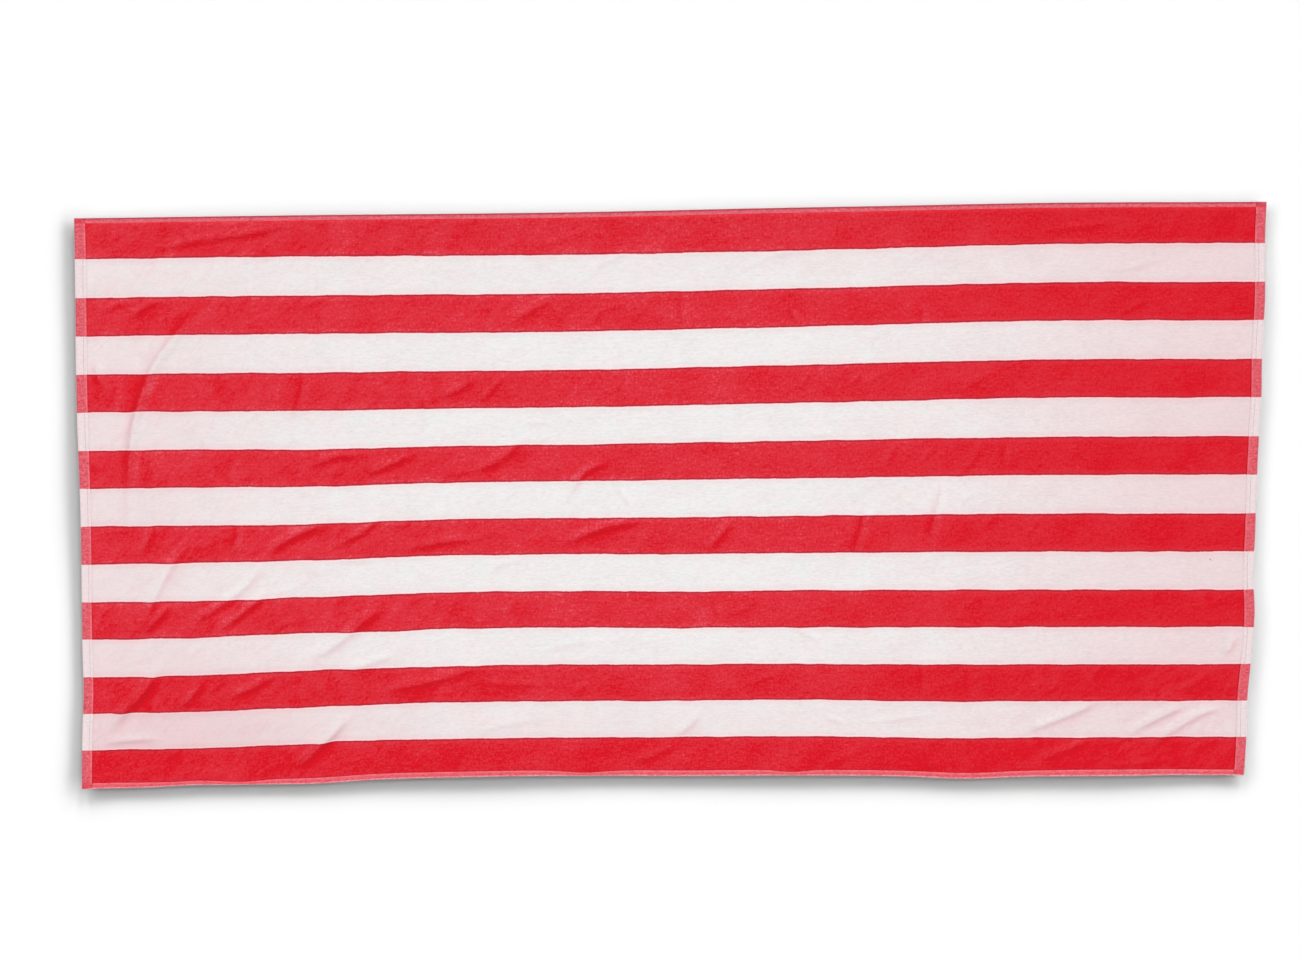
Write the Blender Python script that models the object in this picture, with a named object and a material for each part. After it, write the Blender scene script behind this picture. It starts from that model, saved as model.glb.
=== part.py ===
"""A striped beach towel lying flat in its folds: one length of cotton velour with turned hems.

The cloth is cut as a plain rectangle, with u along its stripes and v across them, both in
millimetres from its middle, and it is divided into triangles there. laid() then carries each
point to where it lies: +X along the stripes, +Z up, and the underside resting on z = 0.
"""

import math
from collections import namedtuple

import bmesh
import bpy
from mathutils import Vector
from mathutils.geometry import delaunay_2d_cdt

METRES_PER_MM = 0.001

# The cut cloth, in millimetres.
LENGTH = 1525
WIDTH = 744
STRIPES = 15
STRIPE = 49.2
LEAN = 0.0253  # how far each end leans from square, as a slope

# The turned hems' widths, in millimetres.
END_HEMS = (14, 13)  # at the left end and at the right end
SIDE_HEMS = (7.5, 6.5)  # along the bottom and along the top

# The cloth's thickness, in millimetres. A hem is three layers of the flat weave.
PILE_THICKNESS = 2.6
HEM_THICKNESS = 3
GROOVE_THICKNESS = 1.7  # where the sewing pulls the hem down
RIM_THICKNESS = 2
RIM_ROUND = 1.5
PILE_RISE = 2.5  # the pile stands up to its full height this far inside the sewing

# How finely the flat cloth is divided, in millimetres.
HEM_STEP = 32
FOLD_STEP = 15
FOLD_ROWS = (-1, -0.45, 0, 0.45, 1)  # rows across a fold, as shares of its half width
FOLD_GAP = 5  # the least distance between the points of two folds
LIFT_ROWS = (24, 40, 58)  # rows beside the edges, which carry their lift
FIELD_STEP = 40
FIELD_GAP = 13  # the least distance from the field's points to the folds'
CLEAR_OF_HEM = 7

# A Push moves the cloth about (u, v) along and across its stripes: it didn't lie quite straight.
Push = namedtuple("Push", "u v reach_u reach_v along across")
PUSHES = (
    Push(-150, 190, 240, 240, 0, -3),
    Push(490, 230, 220, 250, 0, 3.5),
    Push(800, -140, 300, 200, 0, -4),
    Push(-250, -210, 450, 270, 0, 8),
    Push(-600, -200, 200, 200, 0, -5),
    Push(-450, 40, 130, 140, 0, -3),
    Push(-100, -440, 550, 120, 0, 8),
    Push(-762, -130, 120, 150, 3, 0),
    Push(762, 100, 120, 170, 2.7, 0),
    Push(762, -190, 100, 60, 4.5, 0),
    # Small waves of the edges: the left end, the right end, the top and the bottom.
    Push(-762, 310, 60, 90, 0.9, 0),
    Push(-762, 7, 60, 90, 2.1, 0),
    Push(-762, -243, 60, 50, 2.2, 0),
    Push(762, 251, 60, 40, 2, 0),
    Push(762, 126, 60, 25, 1, 0),
    Push(762, -53, 60, 50, 1.5, 0),
    Push(762, -146, 60, 35, 2.6, 0),
    Push(762, -325, 60, 40, 1.8, 0),
    Push(60, 372, 620, 32, 0, 1.2),
    Push(130, 372, 160, 32, 0, 0.5),
    Push(-614, -372, 50, 32, 0, 1.9),
    Push(-452, -372, 60, 32, 0, -2.7),
    Push(26, -372, 90, 32, 0, -1.2),
    Push(396, -372, 60, 32, 0, -3.3),
    Push(667, -372, 50, 32, 0, 0.9),
    # Small waves of the stripes, from the top down.
    Push(150, 320, 330, 30, 0, -1.1),
    Push(10, -120, 70, 80, 0, -1.7),
    Push(-370, -175, 50, 50, 0, -1.4),
    Push(-510, -190, 90, 60, 0, 1.6),
    Push(170, -290, 130, 70, 0, 2.2),
    Push(390, -290, 50, 30, 0, -1.6),
    Push(-400, -325, 80, 40, 0, 1.8),
)

# A Swell lifts the cloth off the floor in a low mound about (u, v). They are at its edges.
Swell = namedtuple("Swell", "u v reach_u reach_v lift")
SWELLS = (
    Swell(-640, -372, 340, 46, 2.6),
    Swell(-250, -372, 360, 54, 3.4),
    Swell(160, -372, 360, 50, 3),
    Swell(560, -372, 360, 54, 3.2),
    Swell(-762, -300, 46, 250, 2.6),
    Swell(-762, 10, 50, 260, 3.2),
    Swell(-762, 300, 46, 240, 2.6),
    Swell(762, -220, 46, 330, 2.6),
    Swell(762, 190, 40, 330, 2.2),
    Swell(-420, 372, 480, 40, 2.2),
    Swell(180, 372, 480, 36, 1.8),
    Swell(640, 372, 340, 34, 1.6),
)

# A Fold is a soft ridge along a route of (u, v) points, each in millimetres.
Fold = namedtuple("Fold", "half_width height route")
FOLDS = (
    # The long fold that runs down from the upper left, and sharpens as it goes.
    Fold(13, 4.2, ((-585, 272), (-628, 232), (-668, 177), (-689, 118), (-699, 50), (-704, -82))),
    # Along the top, left of the middle.
    Fold(9, 1.6, ((-472, 362), (-530, 349), (-615, 338), (-682, 322))),
    Fold(9, 1.8, ((-650, 266), (-672, 256), (-694, 242))),
    Fold(10, 2, ((-738, 192), (-737, 172), (-728, 150))),
    Fold(9, 1.8, ((-468, 174), (-476, 142), (-486, 103))),
    # The fans of short folds in the left third.
    Fold(10, 2, ((-384, 64), (-430, 61), (-470, 45))),
    Fold(10, 2.4, ((-317, 67), (-356, 50), (-398, 35))),
    Fold(9, 2, ((-246, 164), (-262, 150), (-302, 134))),
    Fold(10, 2, ((-662, -22), (-672, -44), (-684, -68))),
    Fold(11, 2.4, ((-604, -30), (-637, -73), (-660, -112), (-688, -172))),
    Fold(10, 2.6, ((-640, -127), (-662, -148), (-686, -170))),
    Fold(9, 2, ((-557, -18), (-559, -42), (-569, -64))),
    Fold(12, 3, ((-432, -24), (-480, -42), (-520, -66))),
    Fold(10, 2.2, ((-512, -58), (-542, -105), (-588, -138), (-620, -158))),
    Fold(10, 3, ((-512, -112), (-545, -140), (-585, -169))),
    Fold(10, 2.4, ((-363, -14), (-395, -41), (-438, -61))),
    Fold(10, 1.8, ((-241, -53), (-290, -57), (-352, -67))),
    Fold(14, 2.6, ((-350, -130), (-390, -159), (-430, -193), (-478, -217))),
    # The broad fold in the lower left corner.
    Fold(15, 5, ((-648, -197), (-680, -246), (-704, -270), (-732, -306))),
    Fold(10, 2.4, ((-734, -313), (-700, -309), (-650, -307))),
    Fold(10, 3, ((-597, -227), (-614, -248), (-635, -270))),
    Fold(10, 2.6, ((-503, -225), (-535, -242), (-570, -254))),
    Fold(11, 1.8, ((-343, -203), (-382, -216), (-424, -230))),
    Fold(12, 2.2, ((-221, -219), (-300, -243), (-384, -257))),
    # The folds that reach the bottom hem.
    Fold(13, 4.2, ((-397, -274), (-430, -310), (-462, -340), (-482, -355))),
    Fold(10, 2.4, ((52, -283), (36, -305), (14, -322))),
    Fold(10, 2, ((25, -329), (-12, -346), (-42, -355))),
    # The middle.
    Fold(10, 1.8, ((-140, 268), (-172, 250), (-208, 231))),
    Fold(9, 2, ((-206, 170), (-224, 148), (-244, 127))),
    Fold(12, 2.4, ((-182, 86), (-212, 54), (-254, 36))),
    Fold(10, 2.4, ((-70, 48), (-105, 34), (-136, -16))),
    Fold(11, 2.6, ((-16, -28), (-80, -41), (-147, -67))),
    Fold(10, 2.4, ((90, -28), (72, -51), (55, -73))),
    Fold(10, 1.8, ((260, 0), (252, -42), (240, -84))),
    # The lower right corner.
    Fold(11, 1.8, ((359, 24), (349, -20), (338, -65))),
    Fold(11, 2.8, ((578, -269), (530, -292), (460, -319))),
    Fold(11, 3.2, ((690, -277), (655, -292), (602, -321))),
    Fold(11, 2.8, ((734, -280), (695, -295), (634, -337))),
    Fold(10, 2.4, ((568, -322), (533, -337), (494, -353))),
    Fold(10, 2.6, ((740, -182), (736, -198), (727, -213))),
)

ROUTE_STEPS = 6  # straight steps between two points of a fold's route
END_TAPER = 0.35  # the share of a fold's length over which it sinks at each end

RED = (0.62, 0.016, 0.026, 1)
WHITE = (0.80, 0.76, 0.765, 1)
COTTON_ROUGHNESS = 0.95


def clear_scene():
    for scene_object in list(bpy.data.objects):
        bpy.data.objects.remove(scene_object)


def smooth_route(route):
    """The route as a Catmull-Rom curve through its points, in short straight steps."""
    ends = [Vector(point) for point in route]
    ends = [2 * ends[0] - ends[1], *ends, 2 * ends[-1] - ends[-2]]
    curve = []
    for before, start, end, after in zip(ends, ends[1:], ends[2:], ends[3:]):
        for step in range(ROUTE_STEPS):
            t = step / ROUTE_STEPS
            curve.append(
                start
                + 0.5 * t * (end - before)
                + t**2 * (before - 2.5 * start + 2 * end - 0.5 * after)
                + 0.5 * t**3 * (3 * start - before - 3 * end + after)
            )
    return [*curve, ends[-2]]


CURVES = [smooth_route(fold.route) for fold in FOLDS]


def smooth_step(share):
    share = min(max(share, 0), 1)
    return share * share * (3 - 2 * share)


def nearest_on(curve, point):
    """The distance from the point to the curve, and how far along the curve that is, from 0 to 1."""
    best = (math.inf, 0)
    for index, (start, end) in enumerate(zip(curve, curve[1:])):
        step = end - start
        t = min(max((point - start).dot(step) / step.length_squared, 0), 1)
        best = min(best, ((point - start - t * step).length, (index + t) / (len(curve) - 1)))
    return best


def ridge(fold, curve, point):
    """How high the fold lifts the cloth at the point."""
    distance, along = nearest_on(curve, point)
    if distance >= fold.half_width:
        return 0
    across = math.cos(0.5 * math.pi * distance / fold.half_width) ** 2
    return fold.height * across * smooth_step(min(along, 1 - along) / END_TAPER)


def mound(swell, point):
    """How high the swell lifts the cloth at the point."""
    out = math.hypot((point.x - swell.u) / swell.reach_u, (point.y - swell.v) / swell.reach_v)
    return swell.lift * math.cos(0.5 * math.pi * min(out, 1)) ** 2


def laid(point):
    """Where a point of the flat cloth's underside lies, in millimetres."""
    x = point.x + LEAN * point.y
    y = point.y
    for push in PUSHES:
        du = (point.x - push.u) / push.reach_u
        dv = (point.y - push.v) / push.reach_v
        share = math.exp(-(du**2) - dv**2)
        x += share * push.along
        y += share * push.across
    folds = sum(ridge(fold, curve, point) for fold, curve in zip(FOLDS, CURVES))
    return Vector((x, y, folds + sum(mound(swell, point) for swell in SWELLS)))


def thickness(point):
    """How thick the cloth is at a point of it: rounded rim, hem, sewn groove, then pile."""
    thick = PILE_THICKNESS
    for place, size, hems in ((point.x, LENGTH, END_HEMS), (point.y, WIDTH, SIDE_HEMS)):
        distance = size / 2 - abs(place)
        hem = hems[0] if place < 0 else hems[1]
        if distance < hem:
            sewing = smooth_step((hem - distance) / RIM_ROUND)
            thick = min(thick, GROOVE_THICKNESS + sewing * (HEM_THICKNESS - GROOVE_THICKNESS))
            rim = smooth_step(distance / RIM_ROUND)
            thick = min(thick, RIM_THICKNESS + rim * (HEM_THICKNESS - RIM_THICKNESS))
        else:
            rise = smooth_step((distance - hem) / PILE_RISE)
            thick = min(thick, GROOVE_THICKNESS + rise * (PILE_THICKNESS - GROOVE_THICKNESS))
    return thick


def hem_rows(size, hems):
    """The places across the cloth where its hems' rims, sewn grooves and rises begin and end."""
    first, last = ((0, RIM_ROUND, hem - RIM_ROUND, hem, hem + PILE_RISE) for hem in hems)
    return sorted({*(inset - size / 2 for inset in first), *(size / 2 - inset for inset in last)})


def lift_rows(size):
    """The places across the cloth of the rows beside its edges."""
    return sorted({side * (size / 2 - inset) for side in (-1, 1) for inset in LIFT_ROWS})


def filled_in(rows, widest):
    """The rows with even steps filled in across the wide stretch in their middle."""
    first = max(row for row in rows if row < 0)
    last = min(row for row in rows if row > 0)
    steps = round((last - first) / widest)
    return sorted({*rows, *(first + (last - first) * step / steps for step in range(1, steps))})


class Pattern:
    """The points and edges by which the flat cloth is divided into triangles."""

    def __init__(self):
        self.points = []
        self.edges = []
        self.cells = {}

    def cell(self, point):
        return math.floor(point.x / FIELD_GAP), math.floor(point.y / FIELD_GAP)

    def add(self, point):
        """Adds the point and returns its index."""
        self.cells.setdefault(self.cell(point), []).append(len(self.points))
        self.points.append(point)
        return len(self.points) - 1

    def add_apart(self, point, gap):
        """Adds the point where it lies in the pile and this far from all the points before it."""
        inside_u = abs(point.x) < LENGTH / 2 - max(END_HEMS) - CLEAR_OF_HEM
        inside_v = abs(point.y) < WIDTH / 2 - max(SIDE_HEMS) - CLEAR_OF_HEM
        column, row = self.cell(point)
        near = (
            self.points[index]
            for du in (-1, 0, 1)
            for dv in (-1, 0, 1)
            for index in self.cells.get((column + du, row + dv), ())
        )
        if inside_u and inside_v and all((other - point).length >= gap for other in near):
            self.add(point)


def add_hems(pattern):
    """Rows along all four hems, joined by edges so that the hems keep straight lines."""
    u_rows = hem_rows(LENGTH, END_HEMS)
    v_rows = hem_rows(WIDTH, SIDE_HEMS)
    placed = {}
    lines = [[(u, v) for v in filled_in(v_rows, HEM_STEP)] for u in u_rows]
    lines += [[(u, v) for u in filled_in(u_rows, HEM_STEP)] for v in v_rows]
    for line in lines:
        for place in line:
            if place not in placed:
                placed[place] = pattern.add(Vector(place))
        ids = [placed[place] for place in line]
        pattern.edges += zip(ids, ids[1:])


def add_folds(pattern):
    """Rows of points along each fold's crest, flanks and feet, the highest folds first."""
    by_height = sorted(zip(FOLDS, CURVES), key=lambda pair: -pair[0].height)
    for fold, curve in by_height:
        length = sum((end - start).length for start, end in zip(curve, curve[1:]))
        stations = max(round(length / FOLD_STEP), 2)
        for station in range(stations + 1):
            place = station / stations * (len(curve) - 1)
            index = min(int(place), len(curve) - 2)
            start, end = curve[index], curve[index + 1]
            middle = start.lerp(end, place - index)
            aside = (end - start).orthogonal().normalized()
            for row in FOLD_ROWS:
                pattern.add_apart(middle + row * fold.half_width * aside, FOLD_GAP)


def add_field(pattern):
    """The rows that carry the edges' lift, and even rows over the rest, clear of the folds."""
    u_steps = filled_in(lift_rows(LENGTH), FIELD_STEP)
    v_steps = filled_in(lift_rows(WIDTH), FIELD_STEP)
    for u in u_steps:
        for v in v_steps:
            pattern.add_apart(Vector((u, v)), FIELD_GAP)


def cloth_mesh():
    """The cloth as one closed mesh: the laid underside, and the same cloth its thickness above."""
    pattern = Pattern()
    add_hems(pattern)
    add_folds(pattern)
    add_field(pattern)
    points, _, faces, *_ = delaunay_2d_cdt(pattern.points, pattern.edges, [], 0, 1e-4)

    shape = bmesh.new()
    flat = shape.verts.layers.float_vector.new("flat")
    for point in points:
        vert = shape.verts.new(laid(point) * METRES_PER_MM)
        vert[flat] = point.to_3d()
    shape.verts.ensure_lookup_table()
    for corners in faces:
        shape.faces.new([shape.verts[corner] for corner in corners])

    raised = bmesh.ops.extrude_face_region(shape, geom=shape.faces[:])["geom"]
    for vert in raised:
        if isinstance(vert, bmesh.types.BMVert):
            vert.co.z += thickness(vert[flat].to_2d()) * METRES_PER_MM
    bmesh.ops.recalc_face_normals(shape, faces=shape.faces)

    low = Vector(min(vert.co[axis] for vert in shape.verts) for axis in range(3))
    high = Vector(max(vert.co[axis] for vert in shape.verts) for axis in range(3))
    middle = (low + high) / 2
    bmesh.ops.translate(shape, vec=(-middle.x, -middle.y, 0), verts=shape.verts)

    cut_cloth = shape.loops.layers.uv.new("cut_cloth")
    for face in shape.faces:
        for loop in face.loops:
            place = loop.vert[flat]
            loop[cut_cloth].uv = (place.x / LENGTH + 0.5, place.y / WIDTH + 0.5)

    mesh = bpy.data.meshes.new("towel")
    shape.to_mesh(mesh)
    shape.free()
    mesh.shade_smooth()
    mesh.set_sharp_from_angle(angle=math.radians(40))
    return mesh


def striped_velour():
    """Cotton velour in red and white stripes: the outer two are a little wider, with their hems."""
    material = bpy.data.materials.new("striped_velour")
    material.use_nodes = True
    nodes, links = material.node_tree.nodes, material.node_tree.links
    surface = nodes["Principled BSDF"]
    surface.inputs["Roughness"].default_value = COTTON_ROUGHNESS
    surface.inputs["Metallic"].default_value = 0

    place = nodes.new("ShaderNodeSeparateXYZ")
    links.new(nodes.new("ShaderNodeUVMap").outputs["UV"], place.inputs["Vector"])
    value = place.outputs["Y"]
    first_stripe = (WIDTH - STRIPES * STRIPE) / 2
    steps = (
        ("MULTIPLY", WIDTH),
        ("SUBTRACT", first_stripe),
        ("DIVIDE", STRIPE),
        ("FLOOR", 0),
        ("MAXIMUM", 0),
        ("MINIMUM", STRIPES - 1),
        ("MODULO", 2),
    )
    for operation, number in steps:
        node = nodes.new("ShaderNodeMath")
        node.operation = operation
        node.inputs[1].default_value = number
        links.new(value, node.inputs[0])
        value = node.outputs["Value"]

    mix = nodes.new("ShaderNodeMix")
    mix.data_type = "RGBA"
    mix.inputs["A"].default_value = RED
    mix.inputs["B"].default_value = WHITE
    links.new(value, mix.inputs["Factor"])
    links.new(mix.outputs["Result"], surface.inputs["Base Color"])
    return material


def main():
    clear_scene()
    mesh = cloth_mesh()
    mesh.materials.append(striped_velour())
    towel = bpy.data.objects.new("towel", mesh)
    bpy.context.scene.collection.objects.link(towel)


main()
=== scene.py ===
"""A striped beach towel laid out flat: the looks of its velour, hems and sewing, round its solid.

The cloth is worked out as it was cut, with u along its stripes and v across them, in millimetres
from its middle. laid() then carries the points of each piece to where they lie on the floor.
"""

import math
from collections import namedtuple

import bpy
import numpy as np
from mathutils import Matrix, Vector


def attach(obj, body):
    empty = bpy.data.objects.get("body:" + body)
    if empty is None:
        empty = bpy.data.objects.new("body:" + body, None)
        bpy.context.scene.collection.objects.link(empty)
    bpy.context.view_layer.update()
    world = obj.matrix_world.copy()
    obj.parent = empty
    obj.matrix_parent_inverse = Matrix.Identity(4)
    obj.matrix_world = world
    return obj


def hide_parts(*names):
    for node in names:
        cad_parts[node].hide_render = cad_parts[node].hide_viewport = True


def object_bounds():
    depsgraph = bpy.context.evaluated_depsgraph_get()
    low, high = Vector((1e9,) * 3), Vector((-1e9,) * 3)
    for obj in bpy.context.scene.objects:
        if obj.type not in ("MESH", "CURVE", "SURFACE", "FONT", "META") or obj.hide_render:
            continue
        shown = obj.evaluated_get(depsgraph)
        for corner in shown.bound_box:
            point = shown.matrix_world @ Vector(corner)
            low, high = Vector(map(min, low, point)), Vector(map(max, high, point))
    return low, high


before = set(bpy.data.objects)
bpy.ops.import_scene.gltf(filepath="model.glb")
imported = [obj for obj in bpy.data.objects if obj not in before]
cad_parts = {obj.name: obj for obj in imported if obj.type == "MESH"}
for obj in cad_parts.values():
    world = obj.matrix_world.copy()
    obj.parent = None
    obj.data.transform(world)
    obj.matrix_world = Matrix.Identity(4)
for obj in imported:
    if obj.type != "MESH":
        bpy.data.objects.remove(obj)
cad_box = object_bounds()

MM = 0.001

# The cut cloth, in millimetres.
LENGTH = 1525
WIDTH = 744
STRIPES = 15
STRIPE = 49.2
LEAN = 0.0253  # how far each end leans from square, as a slope

# The turned hems: how wide each is, and how far inside its edge it is sewn, in millimetres. Then,
# from 0 to 1, how much a painted highlight brightens it and its rim, how dark a line of painted
# shade shows inside the rim, and how the hem's painted shade falls on the pile beside it.
Hem = namedtuple("Hem", "width sewing worn rim_line shade")
END_HEMS = (Hem(14, 10.4, 0.1, 0.3, 0.4), Hem(13, 8.3, 0.3, 0.4, 0.7))  # at the left and at the right
SIDE_HEMS = (Hem(7.5, 6.2, 1, 0, 0.3), Hem(6.5, 5.2, 0, 0.8, 0))  # along the bottom and the top

# The cloth's thickness, in millimetres. A hem is three layers of the flat weave.
PILE_THICKNESS = 2.6
HEM_THICKNESS = 3
GROOVE_THICKNESS = 1.7  # where the sewing pulls the hem down
RIM_ROUND = 1.5  # a hem's rim is rounded over this far inside the edge
RIM_WALL = 0.6  # and is still this thick at the very edge
PILE_RISE = 2.5  # the pile stands up to its full height this far inside the sewing
FAR_FROM_FOLD = 9  # stands for any distance at which a fold no longer shows

# A Push moves the cloth about (u, v) along and across its stripes: it didn't lie quite straight.
Push = namedtuple("Push", "u v reach_u reach_v along across")
PUSHES = (
    Push(-150, 190, 240, 240, 0, -3),
    Push(490, 230, 220, 250, 0, 3.5),
    Push(800, -140, 300, 200, 0, -4),
    Push(-250, -210, 450, 270, 0, 8),
    Push(-600, -200, 200, 200, 0, -5),
    Push(-450, 40, 130, 140, 0, -3),
    Push(-100, -440, 550, 120, 0, 8),
    Push(-762, -130, 120, 150, 3, 0),
    Push(762, 100, 120, 170, 2.7, 0),
    Push(762, -190, 100, 60, 4.5, 0),
    # Small waves of the edges: the left end, the right end, the top and the bottom.
    Push(-762, 310, 60, 90, 0.9, 0),
    Push(-762, 7, 60, 90, 2.1, 0),
    Push(-762, -243, 60, 50, 2.2, 0),
    Push(762, 251, 60, 40, 2, 0),
    Push(762, 126, 60, 25, 1, 0),
    Push(762, -53, 60, 50, 1.5, 0),
    Push(762, -146, 60, 35, 2.6, 0),
    Push(762, -325, 60, 40, 1.8, 0),
    Push(60, 372, 620, 32, 0, 1.2),
    Push(130, 372, 160, 32, 0, 0.5),
    Push(-614, -372, 50, 32, 0, 1.9),
    Push(-452, -372, 60, 32, 0, -2.7),
    Push(26, -372, 90, 32, 0, -1.2),
    Push(396, -372, 60, 32, 0, -3.3),
    Push(667, -372, 50, 32, 0, 0.9),
    # Small waves of the stripes, from the top down.
    Push(150, 320, 330, 30, 0, -1.1),
    Push(10, -120, 70, 80, 0, -1.7),
    Push(-370, -175, 50, 50, 0, -1.4),
    Push(-510, -190, 90, 60, 0, 1.6),
    Push(170, -290, 130, 70, 0, 2.2),
    Push(390, -290, 50, 30, 0, -1.6),
    Push(-400, -325, 80, 40, 0, 1.8),
)

# A Roll is where a hem rolls under about a place along it, so that this much less of it shows.
Roll = namedtuple("Roll", "hem place reach less")
ROLLS = (
    Roll("left", -190, 230, 1.4),
    Roll("bottom", -640, 45, 1.8),
    Roll("bottom", -556, 38, 3.6),
    Roll("bottom", -102, 36, 3.4),
    Roll("bottom", 170, 26, 2.8),
    Roll("bottom", 575, 90, -1.2),
)
ROLL_EASES_OUT = 40  # over this far inside the hem
STEPS_BACK = 8  # from a laid point to its place on the cut, to about a hundredth of a millimetre
EDGE_POINTS = 200  # along each edge, to find how far the laid cloth reaches

# A Swell lifts the cloth off the floor in a low mound about (u, v). They are at its edges.
Swell = namedtuple("Swell", "u v reach_u reach_v lift")
SWELLS = (
    Swell(-640, -372, 340, 46, 2.6),
    Swell(-250, -372, 360, 54, 3.4),
    Swell(160, -372, 360, 50, 3),
    Swell(560, -372, 360, 54, 3.2),
    Swell(-762, -300, 46, 250, 2.6),
    Swell(-762, 10, 50, 260, 3.2),
    Swell(-762, 300, 46, 240, 2.6),
    Swell(762, -220, 46, 330, 2.6),
    Swell(762, 190, 40, 330, 2.2),
    Swell(-420, 372, 480, 40, 2.2),
    Swell(180, 372, 480, 36, 1.8),
    Swell(640, 372, 340, 34, 1.6),
)

# A Fold is a soft ridge along a route of (u, v) points, each in millimetres.
Fold = namedtuple("Fold", "half_width height route")
FOLDS = (
    # The long fold that runs down from the upper left, and sharpens as it goes.
    Fold(13, 4.2, ((-585, 272), (-628, 232), (-668, 177), (-689, 118), (-699, 50), (-704, -82))),
    # Along the top, left of the middle.
    Fold(9, 1.6, ((-472, 362), (-530, 349), (-615, 338), (-682, 322))),
    Fold(9, 1.8, ((-650, 266), (-672, 256), (-694, 242))),
    Fold(10, 2, ((-738, 192), (-737, 172), (-728, 150))),
    Fold(9, 1.8, ((-468, 174), (-476, 142), (-486, 103))),
    # The fans of short folds in the left third.
    Fold(10, 2, ((-384, 64), (-430, 61), (-470, 45))),
    Fold(10, 2.4, ((-317, 67), (-356, 50), (-398, 35))),
    Fold(9, 2, ((-246, 164), (-262, 150), (-302, 134))),
    Fold(10, 2, ((-662, -22), (-672, -44), (-684, -68))),
    Fold(11, 2.4, ((-604, -30), (-637, -73), (-660, -112), (-688, -172))),
    Fold(10, 2.6, ((-640, -127), (-662, -148), (-686, -170))),
    Fold(9, 2, ((-557, -18), (-559, -42), (-569, -64))),
    Fold(12, 3, ((-432, -24), (-480, -42), (-520, -66))),
    Fold(10, 2.2, ((-512, -58), (-542, -105), (-588, -138), (-620, -158))),
    Fold(10, 3, ((-512, -112), (-545, -140), (-585, -169))),
    Fold(10, 2.4, ((-363, -14), (-395, -41), (-438, -61))),
    Fold(10, 1.8, ((-241, -53), (-290, -57), (-352, -67))),
    Fold(14, 2.6, ((-350, -130), (-390, -159), (-430, -193), (-478, -217))),
    # The broad fold in the lower left corner.
    Fold(15, 5, ((-648, -197), (-680, -246), (-704, -270), (-732, -306))),
    Fold(10, 2.4, ((-734, -313), (-700, -309), (-650, -307))),
    Fold(10, 3, ((-597, -227), (-614, -248), (-635, -270))),
    Fold(10, 2.6, ((-503, -225), (-535, -242), (-570, -254))),
    Fold(11, 1.8, ((-343, -203), (-382, -216), (-424, -230))),
    Fold(12, 2.2, ((-221, -219), (-300, -243), (-384, -257))),
    # The folds that reach the bottom hem.
    Fold(13, 4.2, ((-397, -274), (-430, -310), (-462, -340), (-482, -355))),
    Fold(10, 2.4, ((52, -283), (36, -305), (14, -322))),
    Fold(10, 2, ((25, -329), (-12, -346), (-42, -355))),
    # The middle.
    Fold(10, 1.8, ((-140, 268), (-172, 250), (-208, 231))),
    Fold(9, 2, ((-206, 170), (-224, 148), (-244, 127))),
    Fold(12, 2.4, ((-182, 86), (-212, 54), (-254, 36))),
    Fold(10, 2.4, ((-70, 48), (-105, 34), (-136, -16))),
    Fold(11, 2.6, ((-16, -28), (-80, -41), (-147, -67))),
    Fold(10, 2.4, ((90, -28), (72, -51), (55, -73))),
    Fold(10, 1.8, ((260, 0), (252, -42), (240, -84))),
    # The lower right corner.
    Fold(11, 1.8, ((359, 24), (349, -20), (338, -65))),
    Fold(11, 2.8, ((578, -269), (530, -292), (460, -319))),
    Fold(11, 3.2, ((690, -277), (655, -292), (602, -321))),
    Fold(11, 2.8, ((734, -280), (695, -295), (634, -337))),
    Fold(10, 2.4, ((568, -322), (533, -337), (494, -353))),
    Fold(10, 2.6, ((740, -182), (736, -198), (727, -213))),
)

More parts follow.
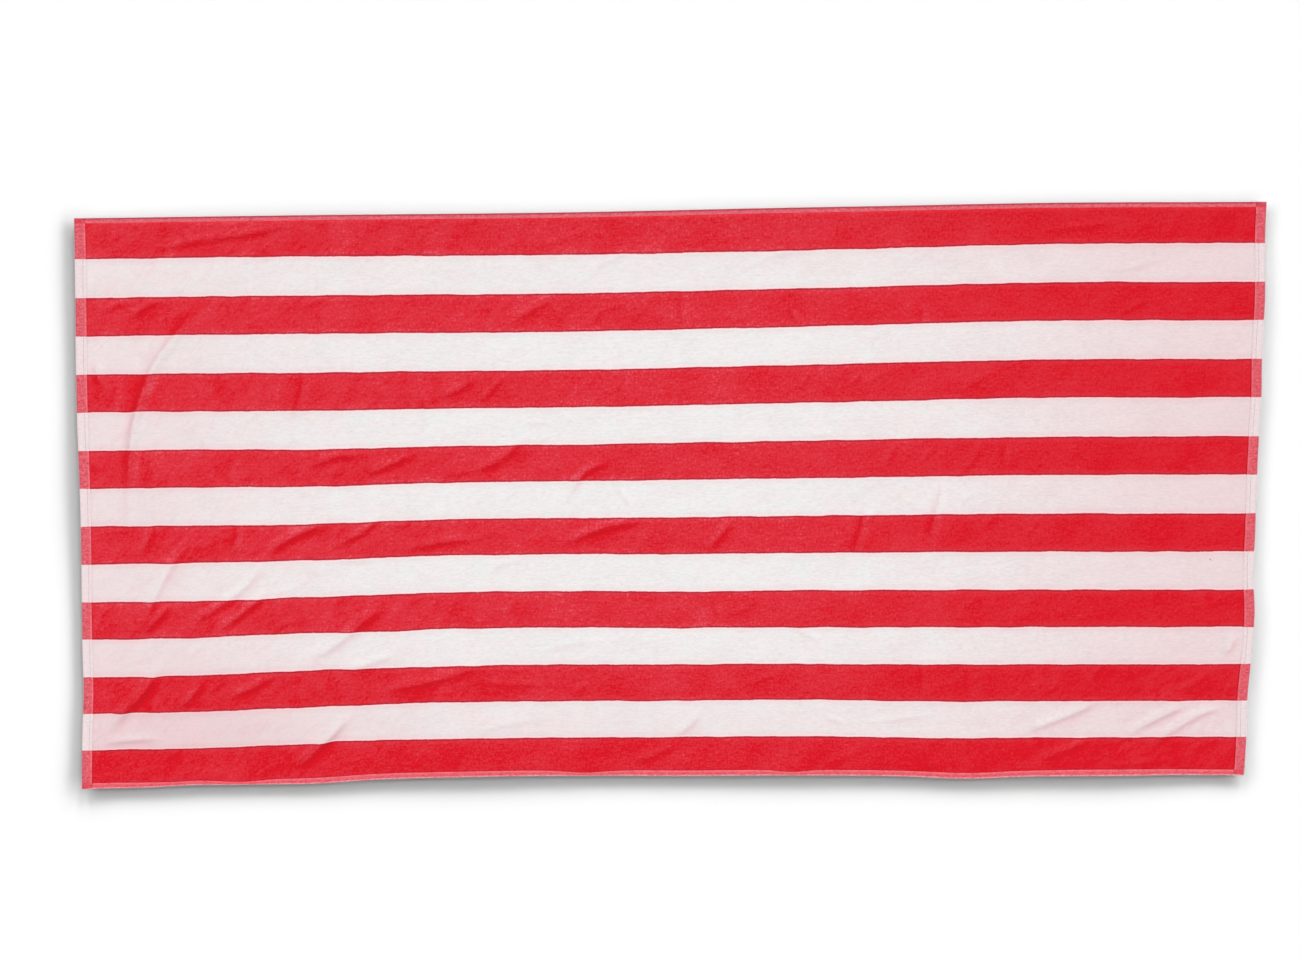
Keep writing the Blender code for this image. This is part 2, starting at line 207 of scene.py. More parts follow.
# The fine creases between the folds, too slight for the solid. Each is this wide and high.
CREASE_HALF_WIDTH = 8
CREASE_HEIGHT = 0.9
CREASES = (
    # The left third, from the top hem down.
    ((-615, 339), (-627, 356)),
    ((-686, 266), (-719, 255), (-738, 246)),
    ((-680, 235), (-689, 216), (-700, 195)),
    ((-711, 161), (-718, 130)),
    ((-578, 166), (-590, 140)),
    ((-436, 268), (-455, 260), (-474, 253)),
    ((-448, 249), (-446, 231)),
    ((-326, 147), (-343, 140), (-358, 132)),
    ((-324, 148), (-314, 126), (-313, 95)),
    ((-559, 73), (-566, 47), (-571, 29)),
    ((-417, 52), (-436, 36)),
    ((-242, 41), (-274, 35), (-294, 27)),
    ((-330, -27), (-358, -37)),
    ((-371, -78), (-436, -78)),
    ((-460, -91), (-481, -112), (-512, -118)),
    ((-293, -133), (-306, -149)),
    ((-450, -153), (-486, -158), (-515, -165)),
    ((-724, -126), (-744, -163)),
    ((-601, -179), (-623, -202)),
    ((-568, -226), (-601, -252)),
    ((-436, -234), (-447, -259)),
    ((-494, -343), (-527, -356)),
    # The middle third.
    ((-92, 355), (-121, 342), (-144, 336), (-163, 326)),
    ((-38, 337), (-63, 316), (-89, 303), (-112, 280)),
    ((-226, 265), (-234, 235), (-242, 213)),
    ((-202, 262), (-217, 248)),
    ((-52, 256), (-86, 246), (-96, 226)),
    ((18, 276), (15, 253), (18, 217)),
    ((81, 292), (113, 303), (138, 313), (196, 318)),
    ((151, 250), (168, 221)),
    ((185, 207), (170, 182)),
    ((191, 174), (177, 150), (166, 135)),
    ((-85, 167), (-107, 149), (-128, 135)),
    ((-54, 165), (-63, 136)),
    ((-148, 104), (-182, 98)),
    ((-149, 89), (-173, 70)),
    ((-64, 15), (-43, -16)),
    ((179, 81), (216, 80)),
    ((251, 160), (236, 142)),
    ((-215, -39), (-239, -50), (-257, -57)),
    ((237, -55), (219, -78)),
    ((-173, -80), (-212, -88), (-236, -105)),
    ((-186, -128), (-209, -158)),
    ((121, -122), (114, -143), (96, -153), (66, -157)),
    ((65, -133), (65, -155)),
    ((-71, -192), (-123, -196), (-178, -211)),
    ((168, -175), (206, -192)),
    ((157, -233), (126, -245), (101, -257)),
    ((-94, -248), (-122, -264)),
    ((-256, -244), (-188, -249), (-125, -249)),
    ((-38, -330), (-65, -343)),
    ((-142, -295), (-188, -301), (-227, -308), (-241, -318)),
    # The right third.
    ((277, -330), (249, -344), (223, -354), (207, -362)),
    ((208, -295), (242, -304)),
    ((575, 345), (532, 341), (469, 334)),
    ((634, 301), (605, 290), (558, 280)),
    ((323, 252), (325, 217)),
    ((617, 249), (594, 235), (566, 218)),
    ((426, 162), (399, 145), (372, 127)),
    ((296, 164), (248, 143)),
    ((416, 73), (396, 42), (377, 27)),
    ((352, 64), (326, 41)),
    ((301, 67), (282, 38)),
    ((439, 72), (433, 42)),
    ((398, 2), (373, -22)),
    ((441, 2), (427, -26), (410, -52)),
    ((282, -9), (254, -44)),
    ((487, -31), (466, -58)),
    ((417, -128), (383, -155)),
    ((335, -220), (337, -260)),
    ((579, -215), (557, -248)),
    ((715, -229), (691, -250), (663, -259)),
    ((365, -286), (311, -296), (256, -304)),
    ((714, -326), (692, -342)),
    ((688, -352), (627, -357), (571, -362)),
)
ALL_FOLDS = FOLDS + tuple(Fold(CREASE_HALF_WIDTH, CREASE_HEIGHT, route) for route in CREASES)

ROUTE_STEPS = 6  # straight steps between two points of a fold's route
END_TAPER = 0.35  # the share of a fold's length over which it sinks at each end
LIGHT_FROM = (0.38, 0.92)  # the way to the light that shades the creases, along and across the stripes
CREST_SHIFT = 0.25  # how far to the lit side a crest lies, as a share of its fold's half width
SHADED_FLANK = 0.65  # how far the steeper flank on its other side reaches, also as such a share
DEEP_BAND = (0.14, 0.68)  # how far a fold's band of painted shade reaches, to its lit and to its other side
BAND_EDGE = 3  # how abruptly that band ends
PALE_CREST = (0.75, 0.5)  # how far to the lit side a painted highlight makes the pile palest, and how far that fades
PALEST = 0.45  # as a share of how deep the line is
DEEPEST_CREASE = 3  # millimetres
TAKEN_UP = 0.6  # the cloth that a fold takes up, as a share of its height
TAKEN_UP_OVER = (0.4, 2.2)  # over what share of its half width, and how far that eases out

# A Crumple is where the cloth was crumpled most, about (u, v).
Crumple = namedtuple("Crumple", "u v reach_u reach_v")
CRUMPLES = (Crumple(-600, 0, 400, math.inf), Crumple(620, -300, 240, 140))
LEAST_CRUMPLED = 0.3  # elsewhere, where 1 is most

# Puckers: how they are turned (mean and spread, in degrees), and their sizes in millimetres.
PUCKER_SEED = 7
PUCKERS = 900
PUCKER_TURN = (40, 28)
PUCKER_HALF_LENGTH = (14, 46)
PUCKER_HALF_WIDTH = (6, 13)
PUCKER_LIFT = (0.05, 0.3)

# The grid's cell, the rows beside a hem's inner line, and those of its rounded rim, in millimetres.
GRID = 2.5
PILE_EDGE_ROWS = (2.5, 1.3, 0.6, 0, -0.8, -1.5)
RIM_ROWS = (1.5, 0.8, 0.3, 0)
AT_EDGE = 0.01  # points this near the outermost ones are on the edge
UNDERSIDE_FACES = 14_000
CLOTH_FACES = 192_000
SMOOTH_ANGLE = 60  # degrees

# The hems' sewing, in millimetres.
THREAD = 0.5
STITCH = 3
STITCH_GAP = 0.5
STITCH_CUTS = (-0.3, -0.12, 0.12, 0.3)  # as shares of a stitch, from its middle
STITCH_TAPER = 0.75  # how much of its section a stitch loses at its ends
STITCH_FLAT = 0.9  # how high its section is, as a share of its width
STITCH_RISE = 0.35  # how high its middle lies on the hem, as a share of the thread
STITCH_DIP = 0.9  # how far its ends lie below its middle, as such a share

# A Blush is where the white is pinker, about (u, v), from 0 to 1.
Blush = namedtuple("Blush", "u v reach_u reach_v depth")
BLUSHES = (
    Blush(-762, 60, 280, 420, 0.62),
    Blush(-640, -330, 260, 130, 0.79),
    Blush(-60, -330, 420, 90, 0.35),
    Blush(-300, 330, 420, 70, 0.15),
    Blush(450, 330, 460, 56, 0.28),
    Blush(762, 60, 380, 480, 0.76),
    Blush(640, -300, 260, 110, 0.3),
)

# A Speck is a small stain at (u, v), so far across, in millimetres.
Speck = namedtuple("Speck", "u v size")
SPECKS = (Speck(707, -84, 2.4),)
SPECK_EDGE = (0.2, 0.6)  # where it starts to fade, and where it is gone, as shares of its size
SPECK_DEPTH = 0.85

# A Layer of unevenness: patches so long and wide, in millimetres, turned by degrees, and its share.
# The pile and the weave are drawn two to four times as coarse as they are, so that they show.
Layer = namedtuple("Layer", "long wide turn share")
BRUSHED_PILE = (
    Layer(60, 42, 8, 0.9),
    Layer(18, 4.5, 1, 0.6),
    Layer(8, 2, 2, 1.1),
    Layer(2.6, 3.8, 0, 1.5),
)
CRUMPLED_PILE = (Layer(70, 24, 28, 0.7), Layer(44, 17, 62, 0.5))
PALE_FLECKS = (Layer(9, 1.6, 2, 1),)  # lengths of the pale ground that show through the red pile
HAIR_CREASES = (Layer(54, 13, 36, 1), Layer(30, 11, 62, 0.7))  # very fine lines of painted crease shade run where this is 0
HAIR_WIDTH = (0.01, 0.07)  # and fade out as it grows
BROKEN_UP = (Layer(34, 22, 30, 1),)  # they are broken off where this is below 0
HAIR_STOPS = (-0.1, 0.1, 0, 1)  # and fade out about there
WHITE_PILE = (Layer(60, 30, 20, 0.6), Layer(17, 4.2, 0, 0.9), Layer(6.5, 2.1, 0, 1.5))
WHITE_TINT = (Layer(46, 26, 0, 1.5), Layer(13, 9, 0, 0.6))
PILE_ENDS = (Layer(2.4, 1.5, 0, 1),)  # the sheared ends, as a bump
HEM_WEAVE = (Layer(9, 2.4, 0, 1.2), Layer(3.4, 3, 20, 1.8))
# Where the hem's painted highlights are broken up.
HEM_HIGHLIGHT_BREAKS = (Layer(16, 16, 0, 1.8), Layer(4, 4, 0, 1.6))
HEM_RAGGED = (Layer(4, 4, 0, 3.4),)  # how ragged the hem's sewn edge is, in millimetres
THREAD_TWIST = (Layer(0.8, 0.8, 0, 2),)
TERRY_LOOP = (2.4, 1.8)  # how long and wide a loop is, in millimetres
STRIPE_WANDER = (Layer(46, 46, 0, 3.2), Layer(9, 9, 0, 0.7), Layer(2.4, 2.4, 0, 0.9))  # millimetres

# What shows near an edge is at its full strength up to the first distance, and gone past the
# second, in millimetres. A third number is that strength, where it isn't 1.
STRIPE_EDGE = (1.3, 2.6)  # beside a stripe's edge, painted shade darkens the red and a pale painted highlight lines the white
STRIPE_SEAM = (0.4, 1, 0.85)  # and close to it the two colours' pile mixes
STRIPE_BLEED = (2, 9)  # further out a little of each colour shows in the other
HEM_SHADE = (0.9, 2.3)  # the hem's shade on the pile beside it
HEM_RIDGE = (1.2, 3.4)  # the hem's sewn edge, which catches the light
CORNER_FOLD = (0.4, 1.3, 0.5)  # a line of painted shade along the end hem's fold, where it runs on across the side hem
RIM_LINE = (1.3, 2.7)  # the line of painted shade inside a hem's rim
RIM_HIGHLIGHT = (1, 2.4)  # the rim itself, where a painted highlight makes it pale
RIM_FRINGE = (0.4, 1, 0.6)  # a paler line at its very edge

# How hazy the pile is, from 0, deep red, to 1 and over, brushed up: the haze is a painted sheen
# off the pile's tips. In each row are two places, in metres, or two other values, and then what
# goes with them.
GRAIN_ALONG = (0.1, 0.6, 1.14, 0.62)  # how uneven the haze is, along the towel
GRAIN_CRUMPLED = (0, 1, 1.08, 0.74)  # and from where the cloth is smooth to where it is crumpled
HAZE_ALONG = (0.1, 0.7, 0.53, 0.12)  # how hazy the pile is on the whole, along the towel
LESS_HAZE_BELOW = (-0.34, -0.16, 0.25)  # how much less near the bottom, across it
LEAST_HAZE = 0.18  # but never less than this on the whole
HAZE_SHARES = {"crease": -0.85, "hair_shade": -0.36, "bleed": 0.27}  # what each adds
SHEEN_HIGHLIGHT = (0.85, 1.6, 0, 0.8)  # a painted highlight, paler than the haziest red, shows from this haze on
BARE_FLECKS = (0.14, 0.3, 0, 0.35)  # and in PALE_FLECKS from this much on

# How pink the white is, with the creases' painted shade shown as pink and the painted sheen
# making it whiter, and how much its unevenness adds to that, from left to right.
PINK_SHARES = {"crease": 0.35, "hair_shade": 0.15, "haze": -0.24, "bleed": 0.4}
STREAKS_ALONG = (0.1, 0.5, 0, -0.3)
COOL_WHITE = (0.15, 0.7)  # it is cool where it blushes less than this

# The camera: a 50 mm lens, in metres and degrees, aimed at a point of the cloth in millimetres.
LENS = 50
SENSOR = 36
CAMERA_DISTANCE = 2.3417
CAMERA_TILT = 4.8425
CAMERA_ROLL = 0.767
CAMERA_TARGET = (-20.7, 16.5)
FLOOR_SIZE = 30

# The light, with angles in degrees, round from +Y. Two softboxes light the towel, and a ring of
# them close to the floor draws its soft shadow. Those are brightest and lowest at the top right.
Softbox = namedtuple("Softbox", "name azimuth elevation spread light")
SOFTBOXES = (
    Softbox("overhead_softbox", 20, 84, 60, 0.73),
    Softbox("window_side_softbox", 20, 55, 60, 0.24),
)
SKY = 0.02  # a trace of light from all round
LAMP_DISTANCE = 3  # metres, which makes no difference to a sun
BACKDROP_RADIUS = 0.49 * FLOOR_SIZE
RING = 12
RING_LIGHT = 2.2
RING_BRIGHTEST = 28
RING_CONTRAST = 1  # how much brighter the brightest is than the mean, as a share of it
RING_ELEVATION = (12.5, 1.5)  # the mean, and how much lower the brightest is
RING_SPREAD = 12


# ---------------------------------------------------------------- how the cloth lies


def smooth_step(share):
    """0 up to a share of 0, 1 from a share of 1 on, and a smooth rise between them."""
    share = np.clip(share, 0, 1)
    return share * share * (3 - 2 * share)


def mound(out):
    """1 in the middle of a mound, falling to 0 where it is 1 out to either side, and 0 beyond."""
    return np.cos(0.5 * np.pi * np.clip(out, -1, 1)) ** 2


def nearness(spot, u, v):
    """1 at a Push, Crumple or Blush, and less the further off, as its reach says."""
    return np.exp(-(((u - spot.u) / spot.reach_u) ** 2 + ((v - spot.v) / spot.reach_v) ** 2))


def tapered(along):
    """1 along the middle of a fold, sinking to 0 at its ends."""
    return smooth_step(np.minimum(along, 1 - along) / END_TAPER)


def smooth_route(route):
    """The route as a Catmull-Rom curve through its points, in short straight steps."""
    points = [np.array(point, float) for point in route]
    points = [2 * points[0] - points[1], *points, 2 * points[-1] - points[-2]]
    curve = []
    for before, start, end, after in zip(points, points[1:], points[2:], points[3:]):
        for step in range(ROUTE_STEPS):
            t = step / ROUTE_STEPS
            curve.append(
                start
                + 0.5 * t * (end - before)
                + t**2 * (before - 2.5 * start + 2 * end - 0.5 * after)
                + 0.5 * t**3 * (3 * start - before - 3 * end + after)
            )
    return np.array([*curve, points[-2]])


def lit_side(curve):
    """The direction square to the curve as a whole, on its side towards LIGHT_FROM."""
    whole = curve[-1] - curve[0]
    square = np.array([-whole[1], whole[0]]) / np.hypot(*whole)
    return square * np.sign(square @ LIGHT_FROM)


def near_route(curve, u, v, reach):
    """The points within reach of the curve, how far they lie to its lit side, and where along it."""
    low, high = curve.min(0) - reach, curve.max(0) + reach
    near = np.flatnonzero((u > low[0]) & (u < high[0]) & (v > low[1]) & (v < high[1]))
    points = np.stack([u[near], v[near]], 1)
    whole = curve[-1] - curve[0]
    lit = np.sign(whole[0] * lit_side(curve)[1] - whole[1] * lit_side(curve)[0])
    distance = np.full(len(near), np.inf)
    side = np.ones(len(near))
    along = np.zeros(len(near))
    for index, (start, end) in enumerate(zip(curve, curve[1:])):
        step = end - start
        t = np.clip((points - start) @ step / (step @ step), 0, 1)
        offset = points - start - t[:, None] * step
        away = np.hypot(offset[:, 0], offset[:, 1])
        closer = away < distance
        distance[closer] = away[closer]
        side[closer] = np.sign(step[0] * offset[:, 1] - step[1] * offset[:, 0])[closer]
        along[closer] = (index + t[closer]) / (len(curve) - 1)
    inside = distance < reach
    return near[inside], (distance * side * lit)[inside], along[inside]


def fold_relief(u, v):
    """How high the folds lift the cloth at the points, in millimetres, and the shade and highlight
    painted on its pile: from -1, a painted highlight on the palest crest, to 1, painted shade deep
    in the creases.

    A fold's crest lies a little to the lit side of its route, and its steep shaded flank on the route.
    """
    height, crease = np.zeros(len(u)), np.zeros(len(u))
    for fold in ALL_FOLDS:
        reach = fold.half_width * (1 + CREST_SHIFT)
        near, offset, along = near_route(smooth_route(fold.route), u, v, reach)
        taper = tapered(along)
        out = offset / fold.half_width
        from_crest = out - CREST_SHIFT
        flank = np.where(from_crest < 0, from_crest / SHADED_FLANK, from_crest)
        height[near] += fold.height * taper * mound(flank)
        # A band of painted shade on the shaded flank, and a painted highlight further to the lit side.
        deep = np.exp(-(np.abs(out / np.where(out > 0, *DEEP_BAND)) ** BAND_EDGE))
        pale = np.exp(-(((out - PALE_CREST[0]) / PALE_CREST[1]) ** 2))
        crease[near] += min(fold.height / DEEPEST_CREASE, 1) * taper * (deep - PALEST * pale)
    return height, np.clip(crease, -1, 1)


def taken_up(u, v):
    """How far along and across its stripes the folds draw the cut cloth in, at places as they lie."""
    drawn = np.zeros((len(u), 2))
    for fold in ALL_FOLDS:
        curve = smooth_route(fold.route)
        near, offset, along = near_route(curve, u, v, 2 * TAKEN_UP_OVER[1] * fold.half_width)
        out = offset / fold.half_width
        step = np.tanh(out / TAKEN_UP_OVER[0]) * np.exp(-((out / TAKEN_UP_OVER[1]) ** 2))
        drawn_in = 0.5 * TAKEN_UP * fold.height * tapered(along) * step
        drawn[near] += drawn_in[:, None] * lit_side(curve)
    return drawn[:, 0], drawn[:, 1]


def pucker_height(u, v):
    """Small uneven puckers all over, thickest where the cloth was crumpled most."""
    chance = np.random.default_rng(PUCKER_SEED)
    height = np.zeros(len(u))
    for _ in range(PUCKERS):
        middle_u = chance.uniform(-0.5, 0.5) * LENGTH
        middle_v = chance.uniform(-0.5, 0.5) * WIDTH
        turn = math.radians(chance.normal(*PUCKER_TURN))
        half_length = chance.uniform(*PUCKER_HALF_LENGTH)
        half_width = chance.uniform(*PUCKER_HALF_WIDTH)
        lift = chance.uniform(*PUCKER_LIFT) * float(crumpled(middle_u, middle_v))
        near = np.flatnonzero((abs(u - middle_u) < half_length) & (abs(v - middle_v) < half_length))
        du, dv = u[near] - middle_u, v[near] - middle_v
        along = (du * math.cos(turn) + dv * math.sin(turn)) / half_length
        across = (dv * math.cos(turn) - du * math.sin(turn)) / half_width
        height[near] += lift * mound(np.hypot(along, across))
    return height


def crumpled(u, v):
    """How crumpled the cloth is about a place, from 0 to 1."""
    most = np.max([nearness(crumple, u, v) for crumple in CRUMPLES], axis=0)
    return LEAST_CRUMPLED + (1 - LEAST_CRUMPLED) * most


def blushed(u, v):
    """How pink the white is, from 0 to 1."""
    return np.minimum(sum(blush.depth * nearness(blush, u, v) for blush in BLUSHES), 1)


def swell_height(u, v):
    """How high the edges' mounds lift the cloth, in millimetres."""
    height = np.zeros(len(u))
    for swell in SWELLS:
        out = np.hypot((u - swell.u) / swell.reach_u, (v - swell.v) / swell.reach_v)
        height += swell.lift * mound(out)
    return height


def pushed(u, v):
    """How far the cloth's points were moved along and across its stripes."""
    along, across = LEAN * v, np.zeros(len(v))
    for push in PUSHES:
        share = nearness(push, u, v)
        along = along + share * push.along
        across = across + share * push.across
    hems = {
        "left": (u + LENGTH / 2, v, END_HEMS[0].width),
        "bottom": (v + WIDTH / 2, u, SIDE_HEMS[0].width),
    }
    drawn = {"left": 0, "bottom": 0}
    for roll in ROLLS:
        inside, place, width = hems[roll.hem]
        share = np.clip(inside / width, 0, 1) * (1 - smooth_step((inside - width) / ROLL_EASES_OUT))
        drawn[roll.hem] += roll.less * share * np.exp(-(((place - roll.place) / roll.reach) ** 2))
    return along - drawn["left"], across - drawn["bottom"]


def middle_of_laid_cloth():
    """The middle of the laid cloth's outline, counted from the middle of the cut."""
    end = np.linspace(-WIDTH / 2, WIDTH / 2, EDGE_POINTS)
    side = np.linspace(-LENGTH / 2, LENGTH / 2, EDGE_POINTS)
    u = np.concatenate([0 * end - LENGTH / 2, 0 * end + LENGTH / 2, side, side])
    v = np.concatenate([end, end, 0 * side - WIDTH / 2, 0 * side + WIDTH / 2])
    along, across = pushed(u, v)
    x, y = u + along, v + across
    return np.array([(x.min() + x.max()) / 2, (y.min() + y.max()) / 2])


OFFSET = np.array(((cad_box[0] + cad_box[1]) / 2).xy) / MM - middle_of_laid_cloth()


def cut_place(x, y):
    """The cut cloth's (u, v) at places of the laid cloth, found by stepping back the pushes."""
    u, v = x - OFFSET[0], y - OFFSET[1]
    for _ in range(STEPS_BACK):
        along, across = pushed(u, v)
        u, v = x - OFFSET[0] - along, y - OFFSET[1] - across
    return u, v


def relief(u, v):
    """How high the cloth's underside lies above the floor, in millimetres."""
    return np.maximum(fold_relief(u, v)[0] + swell_height(u, v) + pucker_height(u, v), 0)


def laid(u, v):
    """Where the underside's points lie, in millimetres, as x, y and height above the floor."""
    along, across = pushed(u, v)
    return np.stack([u + along + OFFSET[0], v + across + OFFSET[1], relief(u, v)], 1)


# ---------------------------------------------------------------- the cloth


def from_edges(u, v):
    """How far inside the cut cloth's ends and sides the points lie, and how wide the hem is there."""
    for place, size, (first, last) in ((u, LENGTH, END_HEMS), (v, WIDTH, SIDE_HEMS)):
        yield size / 2 - np.abs(place), np.where(place < 0, first.width, last.width)


def from_edge(u, v):
    """How far inside the nearest edge the points lie."""
    return np.minimum(*(distance for distance, _ in from_edges(u, v)))


def from_pile(u, v):
    """How far outside the pile's edge the points lie: below 0 on the pile, above it on a hem."""
    return np.maximum(*(hem - distance for distance, hem in from_edges(u, v)))


def across_fold(u, v):
    """How far the points of the side hems lie from the end hems' fold, which runs on across them."""
    (end, end_hem), (side, side_hem) = from_edges(u, v)
    return np.where(side < side_hem, np.abs(end - end_hem), FAR_FROM_FOLD)


def in_corner(u, v):
    """1 in the corners, where an end hem and a side hem cross, and 0 elsewhere."""
    return np.all([distance < hem for distance, hem in from_edges(u, v)], axis=0).astype(float)


def of_hem(u, v, trait):
    """That trait of the hem whose fold each point is nearest to, or is furthest outside."""
    (end, end_hem), (side, side_hem) = from_edges(u, v)
    of_end = np.where(u < 0, *(getattr(hem, trait) for hem in END_HEMS))
    of_side = np.where(v < 0, *(getattr(hem, trait) for hem in SIDE_HEMS))
    return np.where(end - end_hem < side - side_hem, of_end, of_side)


def rim_share(distance):
    """How far the rounded rim has risen, this far inside the edge, from 0 to 1."""
    return np.sqrt(1 - (1 - np.clip(distance / RIM_ROUND, 0, 1)) ** 2)


def top_height(u, v):
    """The upper face's height above the underside: rounded rim, hem, sewn groove, then pile."""
    height = np.full(len(u), float(PILE_THICKNESS))
    for distance, hem in from_edges(u, v):
        rim = rim_share(distance) * (HEM_THICKNESS - RIM_WALL) / 2
        edge = HEM_THICKNESS / 2 + RIM_WALL / 2 + rim
        sewing = smooth_step((hem - distance) / RIM_ROUND)
        flat = GROOVE_THICKNESS + sewing * (HEM_THICKNESS - GROOVE_THICKNESS)
        rise = smooth_step((distance - hem) / PILE_RISE)
        pile = GROOVE_THICKNESS + rise * (PILE_THICKNESS - GROOVE_THICKNESS)
        height = np.minimum(height, np.where(distance < hem, np.minimum(flat, edge), pile))
    return height


def under_height(u, v):
    """The underside is flat but for the rounded rim."""
    return (1 - rim_share(from_edge(u, v))) * (HEM_THICKNESS - RIM_WALL) / 2


def read_points(piece):
    """The piece's points, a row of x, y and z for each."""
    points = np.empty(3 * len(piece.data.vertices), np.float32)
    piece.data.vertices.foreach_get("co", points)
    return points.reshape(-1, 3).astype(float)


def write_points(piece, points):
    """Moves the piece's points there, in the same order."""
    piece.data.vertices.foreach_set("co", points.astype(np.float32).ravel())
    piece.data.update()


def only(piece):
    """Leaves this piece alone selected, and active."""
    bpy.ops.object.select_all(action="DESELECT")
    piece.select_set(True)
    bpy.context.view_layer.objects.active = piece


def new_piece(name, make, **settings):
    """What that operator makes, with that name, and alone selected."""
    bpy.ops.object.select_all(action="DESELECT")
    make(**settings)
    bpy.context.object.name = name
    return bpy.context.object


def select_points(piece, chosen):
    """Selects these points of the piece, and the edges and faces between them."""
    bpy.ops.object.mode_set(mode="EDIT")
    bpy.ops.mesh.select_mode(type="VERT")
    bpy.ops.mesh.select_all(action="DESELECT")
    bpy.ops.object.mode_set(mode="OBJECT")
    piece.data.vertices.foreach_set("select", chosen)
    bpy.ops.object.mode_set(mode="EDIT")
    bpy.ops.mesh.select_mode(type="EDGE")


def add_flat_cloth():
    """The cut cloth as one flat sheet: a fine grid for the pile, and rows drawn out for each hem."""
    pile = [
        (hem[0].width - size / 2 + PILE_EDGE_ROWS[0], size / 2 - hem[1].width - PILE_EDGE_ROWS[0])
        for size, hem in ((LENGTH, END_HEMS), (WIDTH, SIDE_HEMS))
    ]
    (left, right), (low, high) = pile
    cloth = new_piece(
        "velour_cloth",
        bpy.ops.mesh.primitive_grid_add,
        x_subdivisions=round((right - left) / GRID),
        y_subdivisions=round((high - low) / GRID),
        size=1,
        location=((left + right) / 2, (low + high) / 2, 0),
    )
    cloth.scale = (right - left, high - low, 1)
    bpy.ops.object.transform_apply(location=True, scale=True)

    for axis, hems in ((0, END_HEMS), (1, SIDE_HEMS)):
        for side, hem in zip((-1, 1), hems):
            places = read_points(cloth)[:, axis] * side
            select_points(cloth, places > places.max() - AT_EDGE)
            rows = [*(hem.width + row for row in PILE_EDGE_ROWS), *RIM_ROWS]
            if axis == 0:
                rows.insert(len(PILE_EDGE_ROWS), hem.width / 2)
            for row, next_row in zip(rows, rows[1:]):
                step = [0, 0, 0]
                step[axis] = side * (row - next_row)
                bpy.ops.mesh.extrude_edges_move(TRANSFORM_OT_translate={"value": step})
            bpy.ops.object.mode_set(mode="OBJECT")
    return cloth


def thin_out(piece, chosen, faces_left):
    """Joins triangles about the chosen points, flattest first, until the piece has this many."""
    piece.vertex_groups.new(name="thinned").add(np.flatnonzero(chosen).tolist(), 1, "REPLACE")
    thinning = piece.modifiers.new("thinning", "DECIMATE")
    thinning.vertex_group = "thinned"
    thinning.ratio = faces_left / len(piece.data.polygons)
    bpy.ops.object.modifier_apply(modifier="thinning")
    piece.vertex_groups.clear()


def add_cloth():
    """The sheet of cloth: flat as cut, given its thickness, laid in its folds and thinned out."""
    cloth = add_flat_cloth()
    only(cloth)
    flat = read_points(cloth)
    u, v = flat[:, 0], flat[:, 1]
    wall = cloth.modifiers.new("wall", "SOLIDIFY")
    wall.thickness = PILE_THICKNESS
    bpy.ops.object.modifier_apply(modifier="wall")
    cloth.modifiers.new("split", "TRIANGULATE")
    bpy.ops.object.modifier_apply(modifier="split")

    # The sheet's own points are the upper face, and the underside's follow in the same order.
    base = laid(u, v)
    heights = (top_height(u, v), under_height(u, v))
    faces = [base + [0, 0, 1] * height[:, None] for height in heights]
    write_points(cloth, np.concatenate(faces) * MM)

    inside = from_edge(u, v) > RIM_ROUND
    underside = np.concatenate([np.zeros(len(u), bool), inside])
    faces_below = 2 * np.count_nonzero(inside)
    thin_out(cloth, underside, len(cloth.data.polygons) - faces_below + UNDERSIDE_FACES)
    thin_out(cloth, points_up(cloth), CLOTH_FACES)
    return cloth


def points_up(piece):
    """Which points of the piece belong to its upper face."""
    normals = np.empty(3 * len(piece.data.vertices), np.float32)
    piece.data.vertices.foreach_get("normal", normals)
    return normals[2::3] > 0


def finish_cloth(cloth):
    """Writes each point's place on the cut cloth as the UV map, its looks, and its materials."""
    mesh = cloth.data
    points = read_points(cloth) / MM
    u, v = cut_place(points[:, 0], points[:, 1])
    corners = np.empty(len(mesh.loops), np.int32)
    mesh.loops.foreach_get("vertex_index", corners)
    while mesh.uv_layers:
        mesh.uv_layers.remove(mesh.uv_layers[0])
    places = (np.stack([u, v], 1) + np.stack(taken_up(u, v), 1)) * MM
    mesh.uv_layers.new(name="cut_cloth").uv.foreach_set("vector", places[corners].ravel())
    looks = {
        "crease": fold_relief(u, v)[1],
        "crumple": crumpled(u, v),
        "blush": blushed(u, v),
        "from_pile": from_pile(u, v),
        "from_edge": from_edge(u, v),
        "across_fold": across_fold(u, v),
        "in_corner": in_corner(u, v),
        "worn": of_hem(u, v, "worn"),
        "rim_line": of_hem(u, v, "rim_line"),
        "shade": of_hem(u, v, "shade"),
    }
    for name, values in looks.items():
        mesh.attributes.new(name, "FLOAT", "POINT").data.foreach_set("value", values)

    faces = np.empty(3 * len(mesh.polygons), np.float32)
    mesh.polygons.foreach_get("center", faces)
    on_hem = from_pile(*cut_place(*(faces.reshape(-1, 3)[:, :2].T / MM))) > 0
    mesh.polygons.foreach_get("normal", faces)
    face, hem, back = range(3)
    kinds = np.where(on_hem, hem, np.where(faces[2::3] < 0, back, face)).astype(np.int32)
    for material in (cotton_velour(), hemmed_cotton_weave(), looped_cotton_terry()):
        mesh.materials.append(material)
    mesh.polygons.foreach_set("material_index", kinds)
    bpy.ops.object.shade_smooth_by_angle(angle=math.radians(SMOOTH_ANGLE))


# ---------------------------------------------------------------- sewing


